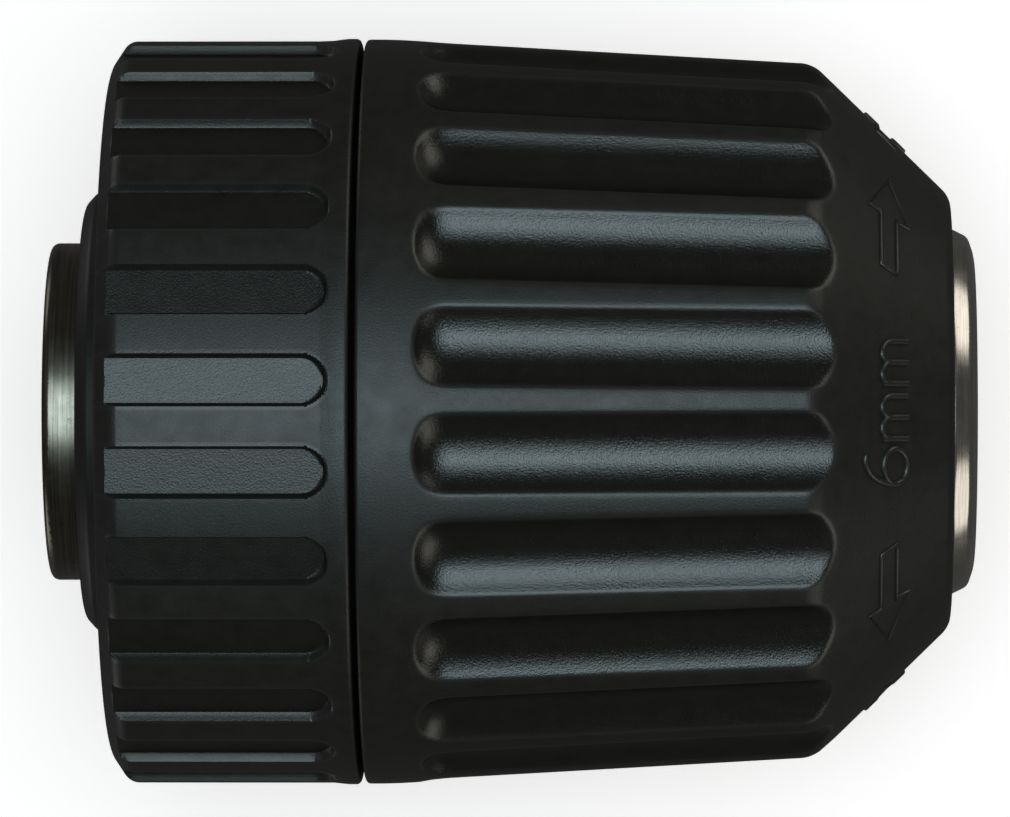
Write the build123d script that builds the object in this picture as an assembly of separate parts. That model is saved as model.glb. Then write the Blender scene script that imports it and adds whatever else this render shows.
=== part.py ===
from build123d import *
from math import cos, pi, radians, sin, sqrt, tan
import os

# Keyless drill chuck for round shanks up to 6 mm.
# Millimetres. The chuck's axis is +X: the rear face is at x = 0 and the nose points to +X. +Z is up.
# An angle round the axis starts at +Z and follows the right-hand rule about +X.

# Driving dimensions of the outside
OVERALL_LENGTH = 42.1
SLEEVE_RADIUS = 17.0
TAIL_RADIUS = 7.7
TAIL_REVEAL = 1.6            # length of steel collar that shows behind the rear sleeve
SEAM_REAR = 14.15            # the seam between the two sleeves
SEAM_FRONT = 14.4
TAPER_START = 15.6
CONE_START = 34.73
CONE_END = 40.85
SLEEVE_FRONT = 41.0
TAPER_SLOPE = 0.0568
CONE_SLOPE = 0.975
NOSE_RADIUS = 8.35

# Spindle side
THREAD_MAJOR_RADIUS = 25.4 * 3 / 8 / 2      # 3/8 in UNF, 24 threads to the inch
SOCKET_DEPTH = 12.5
SCREW_HOLE_RADIUS = 2.6
SCREW_SEAT = 15.0
SHANK_BORE_RADIUS = 3.2

# Jaws: three round pins in bores that lean in towards the nose
JAW_COUNT = 3
JAW_LEAN = 17.0              # degrees between a jaw's axis and the chuck's axis
JAW_RADIUS = 2.3
JAW_BORE_RADIUS = 2.35
JAW_REACH = 3.5              # distance of a jaw's axis from the chuck's axis at JAW_PLANE
JAW_PLANE = 41.0
JAW_TIP = 40.9
JAW_LENGTH = 28.4
GRIP_RADIUS = 3.3            # half of the widest opening
LAND_HALF_WIDTH = 0.26

# Jaw thread
LEAD = 25.4 / 18             # axial travel for one turn of the nut
TOOTH_DEPTH = 0.7
CREST_CLEARANCE = 0.15
RIDGE_CREST_WIDTH = 0.45
RIDGE_ROOT_WIDTH = 0.75
THREAD_PLAY = 0.125          # on each flank
TOOTH_GROOVES = 11           # grooves along a jaw
FIRST_RIDGE = -15.2          # place of the nut's front ridge along the first jaw

# Nut, its groove in the body, and the thrust bearing behind it
FLANGE_REAR = 16.3
FLANGE_FRONT = 19.5
FLANGE_RADIUS = 14.4
NECK_RADIUS = 9.2
NUT_REAR = 22.95
NUT_FRONT = 27.0
NUT_RADIUS = 13.5
BAND_RADIUS = 14.7
CAVITY_RADIUS = 14.8
BALL_COUNT = 16
BALL_RADIUS = 25.4 / 32
BALL_RING_RADIUS = 13.4
BALL_PLANE = 21.2
RACE_GAP = 0.62              # from the ball plane to the flat of a race
GROOVE_RADIUS = 0.85

# Grips
PAD_COUNT = 26
PAD_PHASE = -4.75
PAD_HALF_WIDTH = 1.12
PAD_DEPTH = 0.4
PAD_FRONT = 13.15
FLUTE_COUNT = 22
FLUTE_PHASE = -10.0
FLUTE_HALF_WIDTH = 1.8
FLUTE_DEPTH = 0.79
FLUTE_REAR = 17.05

# Drive keys between the front sleeve and the nut band
KEY_COUNT = 4
KEY_WIDTH = 3.0
KEY_REAR = 24.5
KEY_DEPTH = 0.7
KEY_PLAY = 0.1

# Lip of the rear sleeve that closes the seam from inside
LIP_INNER = 15.1
LIP_OUTER = 15.7
LIP_FRONT = 15.2
LIP_PLAY = 0.2

LEAN = radians(JAW_LEAN)
PITCH = LEAD / cos(LEAN)     # thread pitch along a jaw
JAW_FRAME = Plane(origin=(JAW_PLANE, 0, JAW_REACH), x_dir=(sin(LEAN), 0, cos(LEAN)),
                  z_dir=(cos(LEAN), 0, -sin(LEAN)))
SHAFT_FRAME = Plane(origin=(0, 0, 0), x_dir=(0, 0, 1), z_dir=(1, 0, 0))


def turned(*corners):
    """A solid of revolution about the chuck's axis. A corner is (x, radius) or (x, radius, rounding)."""
    points = [(corner[0], corner[1]) for corner in corners]
    rounding = [corner[2] if len(corner) > 2 else 0 for corner in corners]
    outline = FilletPolyline(*points, radius=rounding, close=True)
    return revolve(Plane.XZ * make_face(outline), Axis.X, 360)


def ring(rear, front, inner, outer, edge=0.0):
    """A plain ring, with its two outer edges rounded."""
    return turned((rear, inner), (front, inner), (front, outer, edge), (rear, outer, edge))


def about_axis(shape, degrees):
    """The shape turned about the chuck's axis."""
    return shape.rotate(Axis.X, degrees)


def taper_radius(x):
    """Radius of the front sleeve's grip at a station."""
    return SLEEVE_RADIUS - TAPER_SLOPE * (x - TAPER_START)


def cone_radius(x):
    """Radius of the front sleeve's nose cone at a station."""
    return taper_radius(CONE_START) - CONE_SLOPE * (x - CONE_START)


def jaw_line_radius(x, offset):
    """Distance from the chuck's axis of a line beside a jaw's axis, at a station."""
    return JAW_REACH + (JAW_PLANE - x) * tan(LEAN) + offset / cos(LEAN)


def jaw_point(outward, forward):
    """Station and radius of a point given along the first jaw's own axes."""
    x = JAW_PLANE + outward * sin(LEAN) + forward * cos(LEAN)
    return x, JAW_REACH + outward * cos(LEAN) - forward * sin(LEAN)


def make_body():
    spigot = 7.3
    solid = turned(
        (0, THREAD_MAJOR_RADIUS), (0, TAIL_RADIUS, 0.35), (12.5, TAIL_RADIUS), (12.5, 11.2, 0.5),
        (FLANGE_REAR, 11.2), (FLANGE_REAR, FLANGE_RADIUS, 0.3), (FLANGE_FRONT + 0.5, FLANGE_RADIUS, 0.2),
        (FLANGE_FRONT + 0.5, 14.05), (FLANGE_FRONT, 14.05), (FLANGE_FRONT, 11.6), (22.7, 11.6),
        (22.7, NECK_RADIUS), (27.1, NECK_RADIUS), (27.1, 12.4, 0.2), (33.2, 12.4, 0.4),
        (37.0, 8.7), (37.6, 8.7), (37.6, spigot), (41.3, spigot, 0.2), (41.3, SHANK_BORE_RADIUS),
        (SCREW_SEAT, SHANK_BORE_RADIUS), (SCREW_SEAT, SCREW_HOLE_RADIUS),
        (SOCKET_DEPTH, SCREW_HOLE_RADIUS), (SOCKET_DEPTH, THREAD_MAJOR_RADIUS))
    bore = JAW_FRAME.location * Cylinder(JAW_BORE_RADIUS, 80)
    for jaw in range(JAW_COUNT):
        solid -= about_axis(bore, jaw * 360 / JAW_COUNT)
    return solid


def make_jaw(jaw):
    blank = Cylinder(JAW_RADIUS, JAW_LENGTH + 4, align=(Align.CENTER, Align.CENTER, Align.MIN))
    blank = chamfer(blank.faces().sort_by(Axis.Z)[0].edges(), 0.4)
    solid = JAW_FRAME.location * Pos(0, 0, -JAW_LENGTH) * blank
    flank = 16.0
    wedge = Polyline((-LAND_HALF_WIDTH, GRIP_RADIUS), (LAND_HALF_WIDTH, GRIP_RADIUS),
                     (LAND_HALF_WIDTH + flank * sin(pi / 3), GRIP_RADIUS + flank * cos(pi / 3)), (0, 40),
                     (-LAND_HALF_WIDTH - flank * sin(pi / 3), GRIP_RADIUS + flank * cos(pi / 3)), close=True)
    solid &= extrude(Plane.YZ * make_face(wedge), 50)
    solid &= turned((0, 0), (JAW_TIP, 0), (JAW_TIP, 4.7), (JAW_TIP - 1.6, 6.3), (JAW_TIP - 1.6, 20), (0, 20))
    floor = JAW_RADIUS - TOOTH_DEPTH
    crest = RIDGE_CREST_WIDTH / 2 + THREAD_PLAY
    root = RIDGE_ROOT_WIDTH / 2 + THREAD_PLAY
    groove = Polyline((floor, -crest), (floor, crest), (JAW_RADIUS + 0.2, root), (JAW_RADIUS + 0.2, -root),
                      close=True)
    groove = extrude(Plane.XZ * make_face(groove), JAW_RADIUS * 2, both=True)
    helix_angle = LEAD / (2 * pi * jaw_line_radius(25, JAW_RADIUS)) * 180 / pi
    first = FIRST_RIDGE + PITCH * jaw / JAW_COUNT
    for tooth in range(TOOTH_GROOVES):
        place = Pos(0, 0, first - tooth * PITCH) * Rot(helix_angle, 0, 0)
        solid -= JAW_FRAME.location * place * groove
    return about_axis(solid, jaw * 360 / JAW_COUNT)


def make_nut_halves():
    root = JAW_RADIUS + CREST_CLEARANCE
    crest = JAW_RADIUS - TOOTH_DEPTH + CREST_CLEARANCE
    blank = turned((NUT_REAR, jaw_line_radius(NUT_REAR, root)), (NUT_REAR, NUT_RADIUS),
                   (NUT_FRONT, NUT_RADIUS), (NUT_FRONT, jaw_line_radius(NUT_FRONT, root)))
    space = turned((NUT_REAR, NECK_RADIUS), (NUT_REAR, NUT_RADIUS - 0.5), (NUT_FRONT, NUT_RADIUS - 0.5),
                   (NUT_FRONT, NECK_RADIUS))
    start = FIRST_RIDGE - 5 * PITCH
    turns = 6
    x, radius = jaw_point(JAW_RADIUS, start)
    path = SHAFT_FRAME.location * Pos(0, 0, x) * Helix(PITCH, turns * LEAD, radius, cone_angle=-JAW_LEAN)
    buried = 0.35
    half_crest = RIDGE_CREST_WIDTH / 2
    half_root = RIDGE_ROOT_WIDTH / 2 + buried * 0.2
    corners = [(crest, -half_crest), (crest, half_crest), (root + buried, half_root), (root + buried, -half_root)]
    profile = [jaw_point(outward, start + forward) for outward, forward in corners]
    section = Plane.XZ * make_face(Polyline(*profile, close=True))
    ridge = sweep(section, path, is_frenet=True)
    nut = blank + (ridge & space)
    half_space = Box(20, 40, 20, align=(Align.CENTER, Align.CENTER, Align.MIN))
    split_gap = 0.05
    upper = nut & Pos(25, 0, split_gap) * half_space
    lower = nut & Pos(25, 0, -split_gap) * Rot(180, 0, 0) * half_space
    return upper, lower


def make_key(rear, half_width, floor):
    """A straight key, standing inward from the sleeve's wall, for the top of the chuck."""
    length = NUT_FRONT + 0.4 - rear
    return Pos(rear, 0, floor) * Box(length, 2 * half_width, CAVITY_RADIUS + 0.3 - floor,
                                     align=(Align.MIN, Align.CENTER, Align.MIN))


def make_band():
    solid = ring(NUT_REAR, NUT_FRONT, NUT_RADIUS, BAND_RADIUS, 0.15)
    notch = make_key(KEY_REAR - KEY_PLAY, KEY_WIDTH / 2 + KEY_PLAY, CAVITY_RADIUS - KEY_DEPTH - KEY_PLAY)
    for key in range(KEY_COUNT):
        solid -= about_axis(notch, 45 + key * 360 / KEY_COUNT)
    return solid


def make_race(rear, front, inner, outer):
    groove = revolve(Pos(BALL_PLANE, 0, BALL_RING_RADIUS) * (Plane.XZ * Circle(GROOVE_RADIUS)), Axis.X, 360)
    return ring(rear, front, inner, outer, 0.1) - groove


def make_cage():
    solid = ring(BALL_PLANE - 0.4, BALL_PLANE + 0.4, 12.25, 14.5)
    pocket = Pos(BALL_PLANE, 0, BALL_RING_RADIUS) * Rot(0, 90, 0) * Cylinder(BALL_RADIUS + 0.04, 2)
    for ball in range(BALL_COUNT):
        solid -= about_axis(pocket, ball * 360 / BALL_COUNT)
    return solid


def make_rear_sleeve():
    bore = TAIL_RADIUS + 0.02
    solid = turned(
        (TAIL_REVEAL, bore), (TAIL_REVEAL, 9.45, 0.2), (2.1, 10.0), (2.85, 10.15, 0.3), (2.85, 15.75, 0.3),
        (3.65, 16.96, 0.5), (13.2, 16.96), (13.3, SLEEVE_RADIUS + 0.03), (SEAM_REAR, SLEEVE_RADIUS + 0.03, 0.15),
        (SEAM_REAR, LIP_OUTER), (LIP_FRONT, LIP_OUTER), (LIP_FRONT, LIP_INNER), (5.4, LIP_INNER, 0.6),
        (5.4, 9.6, 0.6), (11.0, 9.2), (11.0, bore))
    floor = SLEEVE_RADIUS - 0.04 - PAD_DEPTH
    run = PAD_FRONT - PAD_HALF_WIDTH
    rear = Pos(run, 0, 0) * Box(run, 2 * PAD_HALF_WIDTH, 4, align=(Align.MAX, Align.CENTER, Align.MIN))
    end = Pos(run, 0, 0) * Cylinder(PAD_HALF_WIDTH, 4, align=(Align.CENTER, Align.CENTER, Align.MIN))
    recess = Pos(0, 0, floor) * (rear + end)
    for pad in range(PAD_COUNT):
        solid -= about_axis(recess, PAD_PHASE + pad * 360 / PAD_COUNT)
    return solid


def make_front_sleeve():
    bore = NOSE_RADIUS + 0.1
    solid = turned(
        (LIP_FRONT + LIP_PLAY, CAVITY_RADIUS), (LIP_FRONT + LIP_PLAY, LIP_OUTER + LIP_PLAY),
        (SEAM_FRONT, LIP_OUTER + LIP_PLAY), (SEAM_FRONT, SLEEVE_RADIUS, 0.15), (TAPER_START, SLEEVE_RADIUS, 2.0),
        (CONE_START, taper_radius(CONE_START), 0.5), (CONE_END, cone_radius(CONE_END), 0.3),
        (SLEEVE_FRONT, cone_radius(CONE_END) - 0.4), (SLEEVE_FRONT, bore), (38.9, bore), (38.9, 7.7), (37.8, 7.7),
        (37.8, 9.0), (37.3, 9.0), (33.4, 12.8), (27.3, 12.8), (27.3, CAVITY_RADIUS))
    key = make_key(KEY_REAR, KEY_WIDTH / 2, CAVITY_RADIUS - KEY_DEPTH)
    for index in range(KEY_COUNT):
        solid += about_axis(key, 45 + index * 360 / KEY_COUNT)
    crown = taper_radius(FLUTE_REAR) - sqrt(taper_radius(FLUTE_REAR) ** 2 - FLUTE_HALF_WIDTH ** 2)
    sagitta = FLUTE_DEPTH - crown
    cutter_radius = (FLUTE_HALF_WIDTH ** 2 + sagitta ** 2) / (2 * sagitta)
    start = FLUTE_REAR + FLUTE_HALF_WIDTH
    length = 30.0
    slope = Vector(1, 0, -TAPER_SLOPE)
    frame = Plane(origin=(start, 0, taper_radius(start) - FLUTE_DEPTH + cutter_radius), z_dir=slope)
    cutter = Cylinder(cutter_radius, length, align=(Align.CENTER, Align.CENTER, Align.MIN))
    cutter = frame.location * (cutter + Sphere(cutter_radius))
    for flute in range(FLUTE_COUNT):
        solid -= about_axis(cutter, FLUTE_PHASE + flute * 360 / FLUTE_COUNT)
    return solid


def make_nosepiece():
    bore = 7.32
    return turned((39.0, bore), (39.0, NOSE_RADIUS, 0.2), (OVERALL_LENGTH, NOSE_RADIUS, 1.1),
                  (OVERALL_LENGTH, 6.4, 0.25), (41.32, 6.4), (41.32, bore))


def main():
    os.makedirs("parts", exist_ok=True)
    upper, lower = make_nut_halves()
    nodes = {
        "chuck_body": make_body(),
        "rear_sleeve": make_rear_sleeve(),
        "front_sleeve": make_front_sleeve(),
        "nosepiece": make_nosepiece(),
        "nut_half_a": upper,
        "nut_half_b": lower,
        "nut_band": make_band(),
        "rear_race": make_race(FLANGE_FRONT, BALL_PLANE - RACE_GAP, 12.65, 14.0),
        "front_race": make_race(BALL_PLANE + RACE_GAP, NUT_REAR - 0.05, 12.1, 14.4),
        "ball_cage": make_cage(),
    }
    for jaw in range(JAW_COUNT):
        nodes[f"jaw_{jaw + 1}"] = make_jaw(jaw)
    ball = Pos(BALL_PLANE, 0, BALL_RING_RADIUS) * Sphere(BALL_RADIUS)
    for index in range(BALL_COUNT):
        nodes[f"ball_{index + 1:02d}"] = about_axis(ball, index * 360 / BALL_COUNT)
    for name, shape in nodes.items():
        export_step(shape, f"parts/{name}.step")


main()
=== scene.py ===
# %% [markdown]
# A keyless drill chuck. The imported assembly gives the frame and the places, and this lesson gives each piece
# that shows its finished shape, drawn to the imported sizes, and its finish. The chuck's axis is X: the spindle
# end is at x = 0 and the nose points to +X. We start by loading that frame and by keeping its box, because a
# visual piece may not grow past it.

# %% The frame
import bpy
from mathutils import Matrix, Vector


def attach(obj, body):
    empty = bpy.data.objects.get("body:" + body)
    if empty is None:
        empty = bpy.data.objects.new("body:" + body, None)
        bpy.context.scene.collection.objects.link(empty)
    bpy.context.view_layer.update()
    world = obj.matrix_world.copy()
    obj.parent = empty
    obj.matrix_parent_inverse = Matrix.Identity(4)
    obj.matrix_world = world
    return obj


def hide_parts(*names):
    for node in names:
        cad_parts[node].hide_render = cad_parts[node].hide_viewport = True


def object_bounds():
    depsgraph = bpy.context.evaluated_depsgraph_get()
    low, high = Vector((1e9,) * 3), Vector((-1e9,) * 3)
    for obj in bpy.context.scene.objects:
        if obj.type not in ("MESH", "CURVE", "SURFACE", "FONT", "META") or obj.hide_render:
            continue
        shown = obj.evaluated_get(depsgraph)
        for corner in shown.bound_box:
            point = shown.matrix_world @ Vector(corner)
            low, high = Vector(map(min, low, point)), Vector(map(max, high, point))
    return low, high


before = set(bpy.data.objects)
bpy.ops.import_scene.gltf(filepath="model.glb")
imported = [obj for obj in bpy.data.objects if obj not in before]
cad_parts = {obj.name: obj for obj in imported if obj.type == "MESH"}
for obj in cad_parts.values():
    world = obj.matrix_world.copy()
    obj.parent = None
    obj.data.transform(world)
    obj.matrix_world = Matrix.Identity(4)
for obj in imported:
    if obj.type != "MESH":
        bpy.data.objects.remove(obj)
cad_box = [list(corner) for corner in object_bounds()]

from math import atan2, cos, exp, pi, radians, sin, sqrt

import bmesh
import bpy
from mathutils import Matrix, Vector

MM = 0.001
print("box mm", [[round(v / MM, 2) for v in corner] for corner in cad_box])

# %% [markdown]
# Most of a chuck is turned on a lathe or moulded in a round tool, so most of its pieces start the same way:
# draw half of the section, round its corners, and spin it about the axis. The section is one face while its
# corners are bevelled, because a bevel keeps a face's outline closed. Then the face goes and its edges are
# spun. Where a grip repeats round the axis, only one share of the turn is spun and shaped, and the finished
# share is then copied round, which is how a mould maker cuts one insert and repeats it.

# %% Drawing a section
AXIS = Vector((1, 0, 0))
CENTRE = Vector((0, 0, 0))
CORNER_STEPS = 6             # steps in each rounded corner
CUT_TOLERANCE = 1e-7         # metres
STATION_TOLERANCE = 1e-3     # millimetres
SPIN_WELD = 1e-8             # metres
SEAM_WELD = 0.002            # millimetres


def section(corners, rows=(), least_radius=0.0):
    """A bmesh holding the closed outline of half a section. A corner is (x, radius) or (x, radius, rounding)
    in millimetres. rows is a list of (first x, last x, row length): there the outline outside least_radius
    is divided, so that the later steps have rows of points to work on."""
    bm = bmesh.new()
    points = [bm.verts.new((corner[0] * MM, 0, corner[1] * MM)) for corner in corners]
    bm.faces.new(points)
    for point, corner in zip(points, corners):
        if len(corner) > 2:
            bmesh.ops.bevel(bm, geom=[point], offset=corner[2] * MM, offset_type="OFFSET",
                            segments=CORNER_STEPS, profile=0.5, affect="VERTICES", material=-1)
    bmesh.ops.delete(bm, geom=bm.faces[:], context="FACES_ONLY")
    for first, last, length in rows:
        for x in (first, last):
            outside = [edge for edge in bm.edges if min(v.co.z for v in edge.verts) > least_radius * MM]
            ends = list({vert for edge in outside for vert in edge.verts})
            bmesh.ops.bisect_plane(bm, geom=ends + outside, dist=CUT_TOLERANCE, plane_co=(x * MM, 0, 0),
                                   plane_no=(1, 0, 0))
        for edge in bm.edges[:]:
            stations = [v.co.x / MM for v in edge.verts]
            outside = min(v.co.z for v in edge.verts) > least_radius * MM
            after_first = min(stations) > first - STATION_TOLERANCE
            before_last = max(stations) < last + STATION_TOLERANCE
            if outside and after_first and before_last:
                cuts = int(edge.calc_length() / (length * MM))
                if cuts:
                    bmesh.ops.subdivide_edges(bm, edges=[edge], cuts=cuts)
    return bm


# %% Spinning it, whole or by the share
def spin(bm, around):
    """Spins the outline a full turn in that many steps and closes it."""
    bmesh.ops.spin(bm, geom=bm.verts[:] + bm.edges[:], cent=CENTRE, axis=AXIS, dvec=CENTRE,
                   angle=2 * pi, steps=around, use_merge=True, use_normal_flip=False, use_duplicate=False)
    bmesh.ops.remove_doubles(bm, verts=bm.verts[:], dist=SPIN_WELD)
    bmesh.ops.recalc_face_normals(bm, faces=bm.faces[:])


def spin_share(bm, phase, count, around):
    """Spins the outline through one of count equal shares of the turn, centred on the angle phase."""
    bmesh.ops.rotate(bm, verts=bm.verts[:], cent=CENTRE, matrix=Matrix.Rotation(phase - pi / count, 3, "X"))
    bmesh.ops.spin(bm, geom=bm.verts[:] + bm.edges[:], cent=CENTRE, axis=AXIS, dvec=CENTRE,
                   angle=2 * pi / count, steps=around, use_merge=False, use_normal_flip=False,
                   use_duplicate=False)


def repeat_share(bm, count):
    """Copies the finished share round the axis and closes the seams between the copies."""
    bmesh.ops.spin(bm, geom=bm.verts[:] + bm.edges[:] + bm.faces[:], cent=CENTRE, axis=AXIS, dvec=CENTRE,
                   angle=2 * pi * (count - 1) / count, steps=count - 1, use_merge=False,
                   use_normal_flip=False, use_duplicate=True)
    bmesh.ops.remove_doubles(bm, verts=bm.verts[:], dist=SEAM_WELD * MM)
    bmesh.ops.recalc_face_normals(bm, faces=bm.faces[:])


def finished(bm, name, body, nodes, material, sharp=40):
    """Turns the bmesh into a piece of the chuck: shaded smooth up to an angle, riding on its body."""
    mesh = bpy.data.meshes.new(name)
    for face in bm.faces:
        face.smooth = True
    bm.to_mesh(mesh)
    bm.free()
    mesh.set_sharp_from_angle(angle=radians(sharp))
    mesh.materials.append(material)
    piece = bpy.data.objects.new(name, mesh)
    bpy.context.scene.collection.objects.link(piece)
    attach(piece, body)
    if nodes:
        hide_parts(*nodes)
    print(name, "triangles", sum(len(face.vertices) - 2 for face in mesh.polygons))
    return piece


# %% [markdown]
# The finishes come next, because every piece needs one. Colours are given as the sRGB hex values that a
# colour picker shows, and Blender's shaders want linear light, so one function converts them. One more
# function adds a node with its settings and links.

# %% Colour and node helpers
def linear(code):
    """An sRGB hex colour as linear RGBA."""
    values = [int(code[i:i + 2], 16) / 255 for i in (1, 3, 5)]
    return [v / 12.92 if v <= 0.04045 else ((v + 0.055) / 1.055) ** 2.4 for v in values] + [1.0]


def add_node(tree, kind, settings=None, **links):
    """Adds a node. Settings are its own properties. A link is an input's name, with _ for a space, given as
    a value or as another node's output socket."""
    node = tree.nodes.new(kind)
    for key, value in (settings or {}).items():
        setattr(node, key, value)
    for key, value in links.items():
        socket = node.inputs[key.replace("_", " ")]
        if isinstance(value, bpy.types.NodeSocket):
            tree.links.new(value, socket)
        else:
            socket.default_value = value
    return node


def new_material(name):
    """An empty material, its tree and its object coordinates."""
    material = bpy.data.materials.new(name)
    material.use_nodes = True
    tree = material.node_tree
    tree.nodes.clear()
    place = tree.nodes.new("ShaderNodeTexCoord").outputs["Object"]
    return material, tree, place


def close_material(tree, **inputs):
    """Adds the surface shader with these inputs."""
    shader = add_node(tree, "ShaderNodeBsdfPrincipled", **inputs)
    output = tree.nodes.new("ShaderNodeOutputMaterial")
    tree.links.new(shader.outputs["BSDF"], output.inputs["Surface"])


def ramp(tree, fac, stops):
    """A colour ramp through (position, hex colour) stops."""
    node = add_node(tree, "ShaderNodeValToRGB", Fac=fac)
    while len(node.color_ramp.elements) < len(stops):
        node.color_ramp.elements.new(0.5)
    for element, (position, code) in zip(node.color_ramp.elements, stops):
        element.position = position
        element.color = linear(code)
    return node.outputs["Color"]


# %% [markdown]
# Black glass-filled nylon is the plastic of both sleeves. It is moulded in a spark-eroded tool, so it has a
# very fine grain, under a tenth of a millimetre across, and its lands are matt. The tool's hollows are
# polished after that, so the flutes and recesses come out glossier than the lands, and their grain is given
# more depth, so that it glints. Hands polish the edges. Each sleeve's mesh carries this as two values of its
# own: hollow, which is 1 inside a flute and less in a recess, and edge, which is 1 on a rim.

# %% Black glass-filled nylon
GRAIN_SIZE = 0.085           # millimetres, as the next two
GRAIN_DEPTH = 0.024
MOTTLE_SIZE = 0.9
LAND_ROUGHNESS = (0.42, 0.50)
EDGE_ROUGHNESS = 0.34
HOLLOW_ROUGHNESS = 0.21
LAND_GRAIN = 0.5
HOLLOW_GRAIN = 0.85


def black_nylon():
    material, tree, place = new_material("black_glass_filled_nylon")
    hollow = add_node(tree, "ShaderNodeAttribute", {"attribute_name": "hollow"}).outputs["Fac"]
    edge = add_node(tree, "ShaderNodeAttribute", {"attribute_name": "edge"}).outputs["Fac"]
    grain = add_node(tree, "ShaderNodeTexNoise", Vector=place, Scale=1 / (GRAIN_SIZE * MM), Detail=2.0,
                     Roughness=0.6)
    mottle = add_node(tree, "ShaderNodeTexNoise", Vector=place, Scale=1 / (MOTTLE_SIZE * MM), Detail=4.0,
                      Roughness=0.6)
    plain = ramp(tree, mottle.outputs["Fac"], [(0.3, "#15140f"), (0.7, "#1b1a15")])
    # The lighter colour is wear on the sleeves' rims, and on the raised marks, which carry it in full, a
    # painted highlight for the light on their raised tops.
    wear_and_painted_highlight = add_node(tree, "ShaderNodeMix", {"data_type": "RGBA"}, Factor=edge, A=plain, B=linear("#242421"))
    land = add_node(tree, "ShaderNodeMapRange", Value=mottle.outputs["Fac"], From_Min=0.3, From_Max=0.7,
                    To_Min=LAND_ROUGHNESS[0], To_Max=LAND_ROUGHNESS[1])
    rimmed = add_node(tree, "ShaderNodeMix", {"data_type": "FLOAT"}, Factor=edge, A=land.outputs["Result"],
                      B=EDGE_ROUGHNESS)
    rough = add_node(tree, "ShaderNodeMix", {"data_type": "FLOAT"}, Factor=hollow,
                     A=rimmed.outputs["Result"], B=HOLLOW_ROUGHNESS)
    relief = add_node(tree, "ShaderNodeMapRange", Value=hollow, To_Min=LAND_GRAIN, To_Max=HOLLOW_GRAIN)
    bump = add_node(tree, "ShaderNodeBump", Height=grain.outputs["Fac"], Strength=relief.outputs["Result"],
                    Distance=GRAIN_DEPTH * MM)
    close_material(tree, Base_Color=wear_and_painted_highlight.outputs["Result"], Roughness=rough.outputs["Result"], IOR=1.52,
                   Normal=bump.outputs["Normal"])
    return material


NYLON = black_nylon()
print("plastic", NYLON.name, "grain mm", GRAIN_SIZE)

# %% [markdown]
# The steel body is turned from bar. A lathe tool leaves rings round the axis, which depend on the place along
# it alone, so the pattern is a noise that is drawn out fifty times in Y and Z. The feed marks are about
# 0.1 mm apart. A few brown specks of surface rust sit in the marks.

# %% Turned and polished steel
ACROSS_SCALE = 0.02
CLOUD_SIZE = 1.2             # millimetres, as the next
RUST_SIZE = 0.5
RUST_COLOUR = "#3a2a20"
RUST_RANGE = (0.62, 0.72)    # where in the noise a speck starts and is full


def turned_steel(name, light, dark, low_rough, high_rough, feed, depth, rust):
    """Steel with lathe rings. feed is their spacing and depth their depth in millimetres, and rust is how
    strong the specks are, from 0 to 1."""
    material, tree, place = new_material(name)
    squeeze = add_node(tree, "ShaderNodeMapping", Vector=place, Scale=(1.0, ACROSS_SCALE, ACROSS_SCALE))
    rings = add_node(tree, "ShaderNodeTexNoise", Vector=squeeze.outputs["Vector"], Scale=1 / (feed * MM),
                     Detail=2.0, Roughness=0.6)
    cloud = add_node(tree, "ShaderNodeTexNoise", Vector=place, Scale=1 / (CLOUD_SIZE * MM), Detail=4.0,
                     Roughness=0.6)
    colour = ramp(tree, rings.outputs["Fac"], [(0.3, dark), (0.7, light)])
    spots = add_node(tree, "ShaderNodeTexNoise", Vector=place, Scale=1 / (RUST_SIZE * MM), Detail=5.0,
                     Roughness=0.7)
    stain = add_node(tree, "ShaderNodeMapRange", Value=spots.outputs["Fac"], From_Min=RUST_RANGE[0],
                     From_Max=RUST_RANGE[1], To_Min=0.0, To_Max=rust)
    mixed = add_node(tree, "ShaderNodeMix", {"data_type": "RGBA"})
    tree.links.new(stain.outputs["Result"], mixed.inputs["Factor"])
    tree.links.new(colour, mixed.inputs["A"])
    mixed.inputs["B"].default_value = linear(RUST_COLOUR)
    rough = add_node(tree, "ShaderNodeMapRange", Value=cloud.outputs["Fac"], From_Min=0.3, From_Max=0.7,
                     To_Min=low_rough, To_Max=high_rough)
    bump = add_node(tree, "ShaderNodeBump", Height=rings.outputs["Fac"], Strength=0.5, Distance=depth * MM)
    close_material(tree, Base_Color=mixed.outputs["Result"], Metallic=1.0, Roughness=rough.outputs["Result"],
                   Normal=bump.outputs["Normal"])
    return material


TURNED = turned_steel("turned_bar_steel", "#827d73", "#56524a", low_rough=0.24, high_rough=0.36,
                      feed=0.10, depth=0.010, rust=0.7)
POLISHED = turned_steel("polished_steel_ring", "#d8d5cd", "#b5b1a7", low_rough=0.17, high_rough=0.28,
                        feed=0.05, depth=0.0015, rust=0.5)
JAW_STEEL = turned_steel("phosphated_jaw_steel", "#57585a", "#3f4042", low_rough=0.36, high_rough=0.48,
                         feed=0.12, depth=0.003, rust=0.0)
HARDENED = turned_steel("hardened_oiled_steel", "#6d6a66", "#4b4946", low_rough=0.26, high_rough=0.36,
                        feed=0.10, depth=0.003, rust=0.0)
GROUND = turned_steel("ground_bearing_steel", "#c9c9c8", "#b4b4b3", low_rough=0.10, high_rough=0.18,
                      feed=0.06, depth=0.001, rust=0.0)


# %% Natural nylon for the ball cage
def cage_nylon():
    """Unfilled nylon, pale and slightly waxy, with a faint cloud a millimetre across."""
    material, tree, place = new_material("natural_nylon_cage")
    cloud = add_node(tree, "ShaderNodeTexNoise", Vector=place, Scale=1 / MM, Detail=3.0, Roughness=0.5)
    colour = ramp(tree, cloud.outputs["Fac"], [(0.3, "#d8d2bd"), (0.7, "#e6e1cf")])
    close_material(tree, Base_Color=colour, Roughness=0.45, IOR=1.53)
    return material


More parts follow.
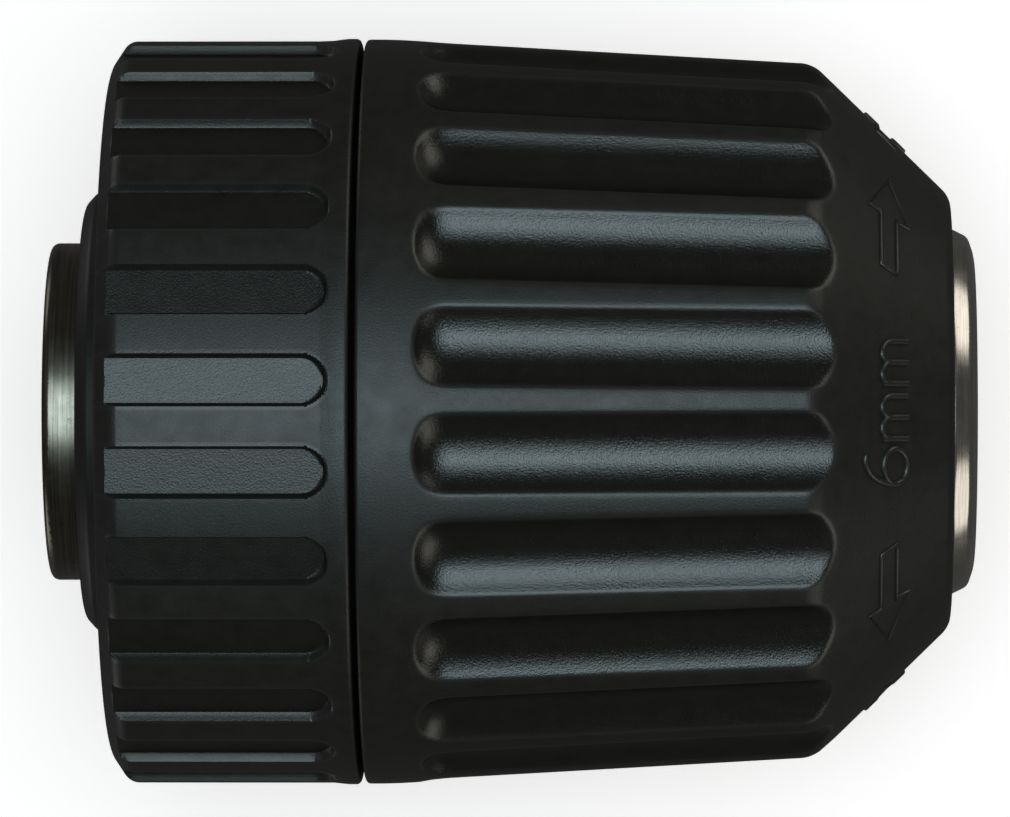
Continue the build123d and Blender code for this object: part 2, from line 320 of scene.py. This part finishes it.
CAGE = cage_nylon()
print("finishes", [item.name for item in (NYLON, TURNED, POLISHED, JAW_STEEL, HARDENED, GROUND, CAGE)])

# %% [markdown]
# The rear sleeve is a cup with a ring of shallow recesses round its rim, each with a flat floor and a round
# end towards the seam. The recesses repeat twenty-six times, so one rule shapes them all: how far a point
# lies inside the nearest recess. The spun columns are first crowded towards the recess walls, where the
# shape changes fast, and the points on a wall are slid onto its contour lines.

# %% Grip recess rules, in millimetres
SLEEVE_RADIUS = 17.0
GRIP_RADIUS = SLEEVE_RADIUS - 0.04
RIM_RADIUS = SLEEVE_RADIUS + 0.03
RIM_REAR = 13.6              # where the rim reaches its full radius
GRIP_ROOT = 15.75            # the grip is what lies outside this radius
PAD_COUNT = 26
PAD_PHASE = radians(-4.75)
PAD_HALF_WIDTH = 1.23
PAD_DEPTH = 0.4
PAD_FRONT = 13.26
PAD_WALL = 0.22              # width of a recess's sloping wall
PAD_STEP = 0.055             # spacing of the wall's contour lines
PAD_RIM = 0.09               # width of the worn rim
PAD_GLOSS = 0.5              # how polished a recess is beside a flute
PAD_CROWD = 0.55
PAD_COLUMNS = 34


def polar(point):
    """A point's place along the axis and its radius in millimetres, and its angle from +Z towards -Y."""
    return point.x / MM, sqrt(point.y ** 2 + point.z ** 2) / MM, atan2(-point.y, point.z)


def from_polar(x, radius, angle):
    return Vector((x * MM, -radius * sin(angle) * MM, radius * cos(angle) * MM))


def nearest(angle, phase, count):
    """The angle to the nearest of the repeats, as a share of half a pitch from -1 to 1, and that repeat's
    own angle."""
    pitch = 2 * pi / count
    centre = phase + round((angle - phase) / pitch) * pitch
    return (angle - centre) / (pitch / 2), centre


def smooth_step(t):
    t = min(max(t, 0.0), 1.0)
    return t * t * (3 - 2 * t)


def capsule_inside(x, across, front, half_width):
    """How far a point is inside a slot that runs back from a round front end, in millimetres."""
    ahead = max(0.0, x - (front - half_width))
    return half_width - sqrt(across ** 2 + ahead ** 2)


def onto_contour(x, across):
    """Slides a point on a recess wall onto the nearest of a few contour lines of the wall, so that a round
    end is drawn by smooth lines and not by stairs."""
    ahead = max(0.0, x - (PAD_FRONT - PAD_HALF_WIDTH))
    reach = max(sqrt(across ** 2 + ahead ** 2), 1e-6)
    inside = PAD_HALF_WIDTH - reach
    contour = round(inside / PAD_STEP) * PAD_STEP
    if -STATION_TOLERANCE < contour < PAD_WALL + STATION_TOLERANCE:
        slide = (inside - contour) / reach
        return x + slide * ahead, across + slide * across
    return x, across


print("recess every", round(360 / PAD_COUNT, 2), "degrees")

# %% Rear sleeve
def rear_sleeve():
    rear, lip_front, hub_front = 1.6, 15.2, 11.0
    bore, hollow_rear, hollow_radius = 7.72, 5.4, 15.1
    hub = [(rear, bore), (rear, 9.45, 0.2), (2.1, 10.0, 0.12), (2.85, 10.15, 0.3)]
    grip = [(2.85, GRIP_ROOT, 0.3), (3.65, GRIP_RADIUS, 0.35), (12.9, GRIP_RADIUS)]
    rim = [(RIM_REAR, RIM_RADIUS), (14.15, RIM_RADIUS, 0.2), (14.15, 15.85)]
    lip = [(14.5, 15.4), (lip_front, 15.4), (lip_front, hollow_radius)]
    inner = [(hollow_rear, hollow_radius, 0.6), (hollow_rear, 9.6, 0.6), (hub_front, 9.2), (hub_front, bore)]
    bm = section(hub + grip + rim + lip + inner,
                 rows=[(2.8, 3.9, 0.10), (4.5, 11.5, 1.8), (11.92, 13.35, PAD_STEP)],
                 least_radius=GRIP_ROOT)
    spin_share(bm, PAD_PHASE, PAD_COUNT, PAD_COLUMNS)
    hollow = bm.verts.layers.float.new("hollow")
    edge = bm.verts.layers.float.new("edge")
    for vert in bm.verts:
        x, radius, angle = polar(vert.co)
        share, centre = nearest(angle, PAD_PHASE, PAD_COUNT)
        share += PAD_CROWD * sin(2 * pi * share) / (2 * pi)
        across = GRIP_RADIUS * share * pi / PAD_COUNT
        if radius > GRIP_ROOT and x < RIM_REAR:
            x, across = onto_contour(x, across)
            inside = capsule_inside(x, across, PAD_FRONT, PAD_HALF_WIDTH)
            deep = (GRIP_RADIUS - PAD_DEPTH) / cos(across / GRIP_RADIUS)
            floor = RIM_RADIUS + (deep - RIM_RADIUS) * smooth_step(inside / PAD_WALL)
            if floor < radius:
                vert[hollow] = PAD_GLOSS * smooth_step(inside / PAD_WALL - 0.5)
                radius = floor
            vert[edge] = exp(-(inside / PAD_RIM) ** 2)
        vert.co = from_polar(x, radius, centre + across / GRIP_RADIUS)
    repeat_share(bm, PAD_COUNT)
    return finished(bm, "rear_sleeve_moulding", "body", ["rear_sleeve"], NYLON)


rear_sleeve()

# %% [markdown]
# The front sleeve has twenty-two scooped flutes, as a ball-nosed cutter would leave them: round in section,
# with a blunt ball end at the back, and running out through the nose cone. A second surface, the cutter's, is
# worked out for each point, and the sleeve takes the lower of the two. The lower of two values has a knife
# edge where they cross, so a smooth minimum rounds it by about a tenth of a millimetre, as a mould does. The
# spun columns are crowded here too, towards a flute's rims and its inner slopes.

# %% Flute rules, in millimetres
FLUTE_COUNT = 22
FLUTE_PHASE = radians(-10.0)
FLUTE_HALF_WIDTH = 1.8
FLUTE_DEPTH = 0.79
FLUTE_REAR = 17.05
FLUTE_END_POWER = 1.6        # above 1, the rear end is blunter than a ball
FLUTE_RIM = 0.10             # width of the worn rim
FLUTE_SKIN = 0.12            # depth at which the finish is fully the hollow's
EDGE_SOFTNESS = 0.09
FLUTE_CROWD = 0.5
FLUTE_COLUMNS = 27
TAPER_START = 15.6
TAPER_SLOPE = 0.0568
CONE_START = 34.73
CONE_SLOPE = 0.975
CONE_END = 40.85
SKIN_REAR = 16.0             # the cutter may change the outer skin between these
SKIN_FRONT = 38.0
SKIN_DEPTH = 0.5
SKIN_LEAST_RADIUS = 12.9


def taper_radius(x):
    return SLEEVE_RADIUS - TAPER_SLOPE * (x - TAPER_START)


def cone_radius(x):
    return taper_radius(CONE_START) - CONE_SLOPE * (x - CONE_START)


CROWN = taper_radius(FLUTE_REAR) - sqrt(taper_radius(FLUTE_REAR) ** 2 - FLUTE_HALF_WIDTH ** 2)
SAGITTA = FLUTE_DEPTH - CROWN
CUTTER = (FLUTE_HALF_WIDTH ** 2 + SAGITTA ** 2) / (2 * SAGITTA)
print("flute cutter radius mm", round(CUTTER, 2))


def cutter_radius(x, angle):
    """Distance from the axis of the cutter's surface, at a station and an angle from the flute's middle."""
    centre = taper_radius(x) - FLUTE_DEPTH + CUTTER
    behind = max(0.0, FLUTE_REAR + FLUTE_HALF_WIDTH - x) / FLUTE_HALF_WIDTH
    behind = FLUTE_HALF_WIDTH * behind ** FLUTE_END_POWER
    reach = CUTTER ** 2 - behind ** 2 - (centre * sin(angle)) ** 2
    if reach > 0:
        return centre * cos(angle) - sqrt(reach)
    return centre * cos(angle) + sqrt(-reach)


def smooth_min(a, b, softness):
    return (a + b - sqrt((a - b) ** 2 + softness ** 2)) / 2


# %% Front sleeve
def front_sleeve():
    seam, lip_end, front = 14.4, 15.4, 41.0
    cavity, shoulder, overlap, bore = 14.8, 12.8, 15.9, 8.45
    cone_end = cone_radius(CONE_END)
    rear = [(lip_end, cavity), (lip_end, overlap), (seam, overlap), (seam, SLEEVE_RADIUS, 0.2)]
    outer = [(TAPER_START, SLEEVE_RADIUS, 0.6), (CONE_START, taper_radius(CONE_START), 0.5),
             (CONE_END, cone_end, 0.25), (front, cone_end - 0.4, 0.1)]
    nose = [(front, bore, 0.1), (38.9, bore), (38.9, 7.7), (37.8, 7.7), (37.8, 9.0), (37.3, 9.0)]
    inner = [(33.4, shoulder), (27.3, shoulder), (27.3, cavity)]
    bm = section(rear + outer + nose + inner,
                 rows=[(16.6, 19.2, 0.10), (19.5, 33.4, 2.0), (34.0, 36.6, 0.09), (36.9, 40.6, 1.0)],
                 least_radius=9.5)
    spin_share(bm, FLUTE_PHASE, FLUTE_COUNT, FLUTE_COLUMNS)
    hollow = bm.verts.layers.float.new("hollow")
    edge = bm.verts.layers.float.new("edge")
    for vert in bm.verts:
        x, radius, angle = polar(vert.co)
        share, centre = nearest(angle, FLUTE_PHASE, FLUTE_COUNT)
        share += FLUTE_CROWD * sin(4 * pi * share) / (4 * pi)
        skin = min(taper_radius(x), cone_radius(x)) - SKIN_DEPTH
        if SKIN_REAR < x < SKIN_FRONT and radius > skin and radius > SKIN_LEAST_RADIUS:
            scoop = cutter_radius(x, share * pi / FLUTE_COUNT)
            vert[hollow] = smooth_step((radius - scoop) / FLUTE_SKIN)
            vert[edge] = exp(-((radius - scoop) / FLUTE_RIM) ** 2)
            radius = smooth_min(radius, scoop, EDGE_SOFTNESS)
        vert.co = from_polar(x, radius, centre + share * pi / FLUTE_COUNT)
    repeat_share(bm, FLUTE_COUNT)
    return finished(bm, "front_sleeve_moulding", "sleeve", ["front_sleeve"], NYLON, sharp=50)


front_sleeve()

# %% [markdown]
# Four keys inside the front sleeve drive the nut's band. They are moulded with the sleeve, as plain bars with
# softened edges. A bar is quick to make from a cube that is scaled, bevelled and turned to its place.

# %% Drive keys
KEY_COUNT = 4
KEY_PHASE = 45               # degrees
KEY_SOFTNESS = 0.12          # millimetres


def drive_keys():
    rear, front, floor, top, width = 24.5, 27.4, 14.1, 14.9, 3.0
    size = Vector((front - rear, width, top - floor))
    middle = Vector(((rear + front) / 2, 0, (floor + top) / 2))
    bm = bmesh.new()
    for index in range(KEY_COUNT):
        turn = Matrix.Rotation(radians(KEY_PHASE + 360 / KEY_COUNT * index), 3, "X")
        bar = bmesh.ops.create_cube(bm, size=1.0)["verts"]
        bmesh.ops.scale(bm, vec=size * MM, verts=bar)
        bmesh.ops.translate(bm, vec=middle * MM, verts=bar)
        bmesh.ops.rotate(bm, verts=bar, cent=CENTRE, matrix=turn)
    bmesh.ops.bevel(bm, geom=bm.edges[:], offset=KEY_SOFTNESS * MM, offset_type="OFFSET", segments=2,
                    profile=0.5, affect="EDGES", material=-1)
    return finished(bm, "drive_keys", "sleeve", [], NYLON)


drive_keys()

# %% [markdown]
# The nose cone carries raised marks, which the mould maker engraves in the tool with a round-nosed cutter:
# the largest shank, and arrows for the turn. A cutter draws lines, so each mark is a set of strokes. A stroke
# is a curve with a round section, made a mesh while it is still flat, and then laid on the cone half sunk: up
# the letters is up the slope, and along the words is round the axis. The marks are given the lighter colour
# of a worn edge in full, which paints the highlight that their raised tops catch.

# %% Laying a flat mark on the cone
MARK_BASE = 38.8             # millimetres, as the next two
MARK_LINE = 0.34
ARROW_LINE = 0.26
# how much of the lighter edge colour paints the highlight on the marks' raised tops
MARK_PAINTED_HIGHLIGHT = 1.0
CONE_ANGLE = atan2(CONE_SLOPE, 1)


def on_cone(along, up, lift, angle):
    """A flat mark's point in millimetres, laid on the cone with the words' base line at MARK_BASE."""
    x = MARK_BASE - up * cos(CONE_ANGLE)
    turn = angle - along / cone_radius(x)
    return from_polar(x + lift * sin(CONE_ANGLE), cone_radius(x) + lift * cos(CONE_ANGLE), turn)


def arc(centre, radii, first, last, steps=14):
    """Points on part of an ellipse, from one angle in degrees to another."""
    angles = [radians(first + (last - first) * step / steps) for step in range(steps + 1)]
    return [(centre[0] + radii[0] * cos(angle), centre[1] + radii[1] * sin(angle)) for angle in angles]


def raised_mark(strokes, thickness, angle):
    """A bmesh of these flat strokes laid on the cone at the angle. A stroke is (points, closed)."""
    curve = bpy.data.curves.new("strokes", "CURVE")
    curve.dimensions = "3D"
    curve.bevel_depth = thickness / 2
    curve.bevel_resolution = 2
    curve.use_fill_caps = True
    for points, closed in strokes:
        line = curve.splines.new("POLY")
        line.points.add(len(points) - 1)
        for place, (along, up) in zip(line.points, points):
            place.co = (along, up, 0, 1)
        line.use_cyclic_u = closed
    item = bpy.data.objects.new("strokes", curve)
    mesh = bpy.data.meshes.new_from_object(item)
    bm = bmesh.new()
    bm.from_mesh(mesh)
    bpy.data.objects.remove(item)
    bpy.data.meshes.remove(mesh)
    for vert in bm.verts:
        vert.co = on_cone(*vert.co, angle)
    return bm


# %% The strokes of the size mark
def six(left):
    bowl, width, lean, stem = 0.74, 0.8, 0.25, 1.9
    return [(arc((left + width, bowl), (width, bowl), 0, 345, 28), True),
            (arc((left + width + lean, bowl), (width + lean, stem), 180, 78), False)]


def letter_m(left):
    height, span, crown = 1.6, 0.95, 0.6
    rise = height - crown
    strokes = [([(left, 0), (left, height)], False)]
    for leg in (left, left + span):
        bend = arc((leg + span / 2, rise), (span / 2, crown), 180, 0)
        strokes.append((bend + [(leg + span, 0)], False))
    return strokes


# %% The strokes of a turning arrow
def arrow(way):
    """The outline of an arrow, its long sides in short steps so that it bends with the cone. way is 1 or
    -1."""
    length, head, half_bar, half_head, middle, step = 5.4, 2.4, 0.5, 1.2, 1.1, 0.3
    bar = [-length / 2 + step * index for index in range(int((length - head) / step) + 1)]
    below = [(x, -half_bar) for x in bar]
    above = [(x, half_bar) for x in reversed(bar)]
    shoulder = bar[-1]
    outline = below + [(shoulder, -half_head), (length / 2, 0), (shoulder, half_head)] + above
    return [([(x * way, y + middle) for x, y in outline], True)]


# %% All the marks, and the same again half a turn round
def nose_marks():
    size_mark = six(-3.25) + letter_m(-1.2) + letter_m(1.25)
    one_side = [(size_mark, MARK_LINE, 0), (arrow(1), ARROW_LINE, -42), (arrow(-1), ARROW_LINE, 41),
                (arrow(1), ARROW_LINE, -88)]
    marks = bmesh.new()
    for opposite in (0, pi):
        for strokes, thickness, degrees in one_side:
            mark = raised_mark(strokes, thickness, radians(degrees) + opposite)
            mesh = bpy.data.meshes.new("mark")
            mark.to_mesh(mesh)
            mark.free()
            marks.from_mesh(mesh)
            bpy.data.meshes.remove(mesh)
    bmesh.ops.recalc_face_normals(marks, faces=marks.faces[:])
    edge = marks.verts.layers.float.new("edge")
    for vert in marks.verts:
        # painted highlight: the marks take the lighter edge colour for the light on their raised tops
        vert[edge] = MARK_PAINTED_HIGHLIGHT
    return finished(marks, "nose_marks", "sleeve", [], NYLON, sharp=60)


nose_marks()

# %% [markdown]
# The nosepiece is a steel ring, polished bright. Its front corner is a steep slope and then a shallow one,
# with small rounds between them, so that it shows a broad highlight and not a thin line.

# %% Nosepiece
NOSEPIECE_STEPS = 240


def nosepiece():
    rear, front, step = 39.0, 42.1, 41.32
    outer, opening, bore = 8.35, 6.4, 7.32
    bm = section([(rear, bore), (rear, outer, 0.2), (41.05, outer, 0.1), (41.8, 7.98, 0.2),
                  (front, 7.1, 0.3), (front, opening, 0.2), (step, opening), (step, bore)])
    spin(bm, NOSEPIECE_STEPS)
    return finished(bm, "nosepiece_ring", "body", ["nosepiece"], POLISHED, sharp=50)


nosepiece()

# %% [markdown]
# The spindle screws into the back of the body. Its thread is three eighths of an inch with twenty-four turns
# to the inch, and a thread is a small section that travels along the axis while it spins, so one spin with a
# step forward makes it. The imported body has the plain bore, and this ridge stands in it.

# %% Spindle thread, in millimetres
INCH = 25.4
THREAD_PITCH = INCH / 24
THREAD_MAJOR = INCH * 3 / 8 / 2
THREAD_MINOR = 4.19
THREAD_SUNK = 0.03           # how deep the ridge's root sits in the bore's wall
THREAD_START = 0.75
THREAD_TURNS = 10
THREAD_STEPS = 60            # in each turn
ROOT_HALF_WIDTH = 0.45
CREST_HALF_WIDTH = 0.08


def spindle_thread():
    root = THREAD_MAJOR + THREAD_SUNK
    corners = [(-ROOT_HALF_WIDTH, root), (-CREST_HALF_WIDTH, THREAD_MINOR),
               (CREST_HALF_WIDTH, THREAD_MINOR), (ROOT_HALF_WIDTH, root)]
    bm = bmesh.new()
    points = [bm.verts.new(((THREAD_START + x) * MM, 0, radius * MM)) for x, radius in corners]
    bm.faces.new(points)
    bmesh.ops.delete(bm, geom=bm.faces[:], context="FACES_ONLY")
    bmesh.ops.spin(bm, geom=bm.verts[:] + bm.edges[:], cent=CENTRE, axis=AXIS,
                   dvec=(THREAD_PITCH / THREAD_STEPS * MM, 0, 0), angle=2 * pi * THREAD_TURNS,
                   steps=THREAD_TURNS * THREAD_STEPS, use_merge=False, use_normal_flip=False,
                   use_duplicate=False)
    bmesh.ops.holes_fill(bm, edges=bm.edges[:], sides=4)
    bmesh.ops.recalc_face_normals(bm, faces=bm.faces[:])
    return finished(bm, "spindle_thread_ridge", "body", [], TURNED, sharp=30)


spindle_thread()

# %% [markdown]
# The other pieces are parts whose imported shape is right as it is. They only need their finish, which goes
# into their own material slots.

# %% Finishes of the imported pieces
def paint(node, material):
    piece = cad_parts[node]
    piece.data.materials.clear()
    piece.data.materials.append(material)


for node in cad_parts:
    if node.startswith("jaw"):
        paint(node, JAW_STEEL)
    elif node == "ball_cage":
        paint(node, CAGE)
    elif node.startswith("ball_") or node.endswith("race"):
        paint(node, GROUND)
    elif node.startswith("nut"):
        paint(node, HARDENED)
paint("chuck_body", TURNED)
print("packed nodes", len(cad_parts))

# %% [markdown]
# The camera looks straight down on the chuck, which lies on a pale floor. It stands far off behind a long
# lens, and a little towards the nose, so that the nose end looks slightly larger than from the side.

# %% Camera
VIEW_DISTANCE = 422.0        # millimetres
VIEW_LEAN = radians(1.2)
VIEW_AIM = (20.7, 0.14, 0.0)
LENS = 329.0
SENSOR_WIDTH = 36.0


def camera():
    data = bpy.data.cameras.new("camera")
    data.lens = LENS
    data.sensor_width = SENSOR_WIDTH
    data.clip_start = 0.01
    data.clip_end = 10.0
    item = bpy.data.objects.new("camera", data)
    aim = Vector(VIEW_AIM) * MM
    back = Vector((sin(VIEW_LEAN), 0, cos(VIEW_LEAN)))
    item.location = aim + back * VIEW_DISTANCE * MM
    up = Vector((0, 1, 0))
    right = up.cross(back).normalized()
    turn = Matrix((right, back.cross(right), back)).transposed()
    item.rotation_euler = turn.to_euler()
    bpy.context.scene.collection.objects.link(item)
    bpy.context.scene.camera = item
    print("camera mm", [round(v / MM, 1) for v in item.location])


camera()

# %% [markdown]
# The floor is pale and glows a little, so that it stays near white behind black plastic. It is left out of
# the reflections, so that it does not draw bright lines along the sleeves' sides.

# %% Floor
FLOOR_GAP = 0.02             # millimetres under the chuck
FLOOR_SIZE = 3.0             # metres
FLOOR_GLOW = 0.58


def floor():
    bm = bmesh.new()
    bmesh.ops.create_grid(bm, x_segments=1, y_segments=1, size=FLOOR_SIZE)
    mesh = bpy.data.meshes.new("floor")
    bm.to_mesh(mesh)
    bm.free()
    item = bpy.data.objects.new("floor", mesh)
    item.location.z = cad_box[0][2] - FLOOR_GAP * MM
    material, tree, place = new_material("pale_floor")
    close_material(tree, Base_Color=linear("#efe0da"), Roughness=0.9, Emission_Color=(1, 1, 1, 1),
                   Emission_Strength=FLOOR_GLOW)
    mesh.materials.append(material)
    bpy.context.scene.collection.objects.link(item)
    item.visible_glossy = False
    item.visible_shadow = False
    item.visible_diffuse = False
    print("floor mm", round(item.location.z / MM, 2))


floor()

# %% [markdown]
# Black plastic shows its light as reflections, so each light is a broad disc set where its reflection should
# fall. The key hangs over the chuck with a smaller disc inside it, and draws the bright band along each
# flute. The two nose lights stand to the sides and draw the two highlights on the nosepiece. The rear lights
# are fainter, and show the back of the sleeve and the tail.

# %% Lights
DAYLIGHT = (0.74, 0.93, 1.0)
WARM = (1.0, 0.96, 0.88)
CHUCK_MIDDLE = (20, 0, 0)
CHUCK_BACK = (0, 0, 0)


def area_light(name, place, aim, size, power, colour=(1, 1, 1)):
    """A round light. Its place, aim and size are in millimetres and its power is in watts."""
    data = bpy.data.lights.new(name, "AREA")
    data.shape = "DISK"
    data.size = size * MM
    data.energy = power
    data.color = colour
    item = bpy.data.objects.new(name, data)
    item.location = Vector(place) * MM
    item.rotation_euler = (Vector(aim) - Vector(place)).to_track_quat("-Z", "Y").to_euler()
    item.visible_camera = False
    bpy.context.scene.collection.objects.link(item)
    print("light", name, power, "W")


area_light("key", (20, 5, 620), CHUCK_MIDDLE, 480, 1.75, DAYLIGHT)
area_light("key_core", (20, 0, 612), CHUCK_MIDDLE, 290, 0.58, DAYLIGHT)
area_light("nose_side_high", (398, 399, 104), CHUCK_MIDDLE, 400, 0.60, WARM)
area_light("nose_side_low", (407, -380, 139), CHUCK_MIDDLE, 400, 0.54, WARM)
area_light("rear_fill", (-420, 60, 260), CHUCK_MIDDLE, 400, 0.04)
area_light("rear_side_high", (-400, 400, -150), CHUCK_BACK, 300, 0.25)
area_light("rear_side_low", (-400, -400, -150), CHUCK_BACK, 300, 0.25)

# %% The studio around it
STUDIO_STRENGTH = 0.065

world = bpy.data.worlds.new("studio")
world.use_nodes = True
background = world.node_tree.nodes["Background"]
background.inputs["Color"].default_value = (1, 1, 1, 1)
background.inputs["Strength"].default_value = STUDIO_STRENGTH
bpy.context.scene.world = world
bpy.context.scene.view_settings.view_transform = "Standard"
print("studio strength", STUDIO_STRENGTH)
